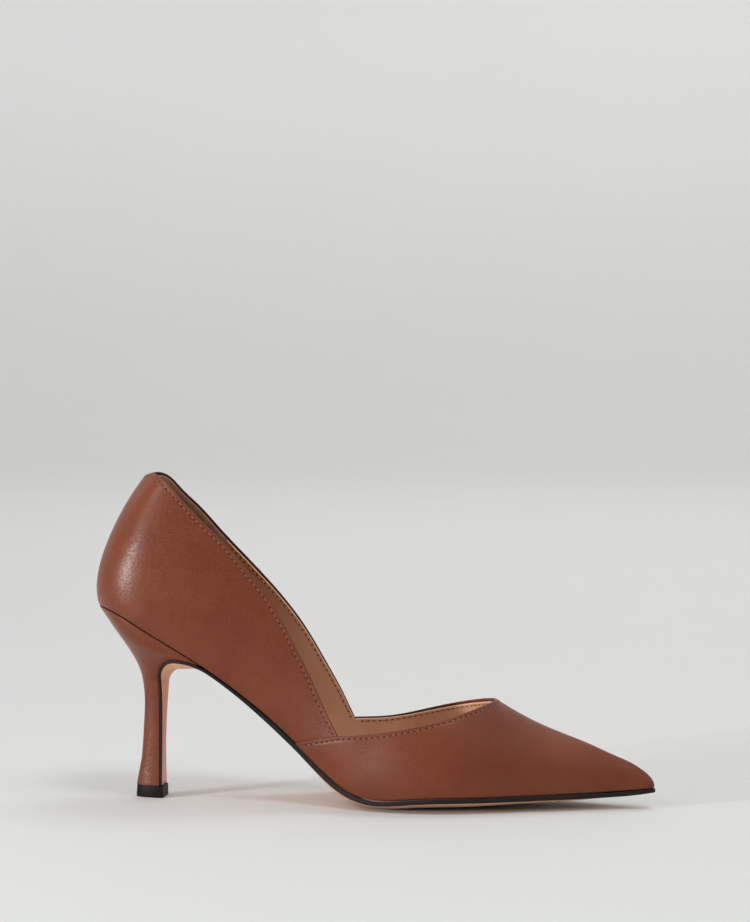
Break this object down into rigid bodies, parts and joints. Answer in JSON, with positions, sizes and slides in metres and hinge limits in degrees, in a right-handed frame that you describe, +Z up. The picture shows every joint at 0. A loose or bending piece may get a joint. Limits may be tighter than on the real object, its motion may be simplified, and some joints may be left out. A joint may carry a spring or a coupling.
{
  "type": "high-heeled pump shoe",
  "caption": "Pointed-toe pump with sides cut down to the waist, a slim flared heel and a thin leather sole that runs down the heel's breast.",
  "frame": {"origin": "middle of the heel tip's floor face", "axes": "+X towards the toe, +Y towards the outer side of the foot, +Z up from the floor"},
  "size_m": [0.2458, 0.0719, 0.1433],
  "materials": {
    "upper_leather": "smooth satin brown calf",
    "lining_leather": "matt tan lining leather",
    "sole_leather": "tan sole leather with a black painted edge",
    "heel_cover": "smooth satin brown calf stretched over the heel block",
    "tip_rubber": "black hard rubber"
  },
  "bodies": {
    "root": {"upper": "upper_leather", "insole": "lining_leather", "outsole": "sole_leather", "heel": "heel_cover", "top_piece": "tip_rubber"}
  },
  "joints": []
}
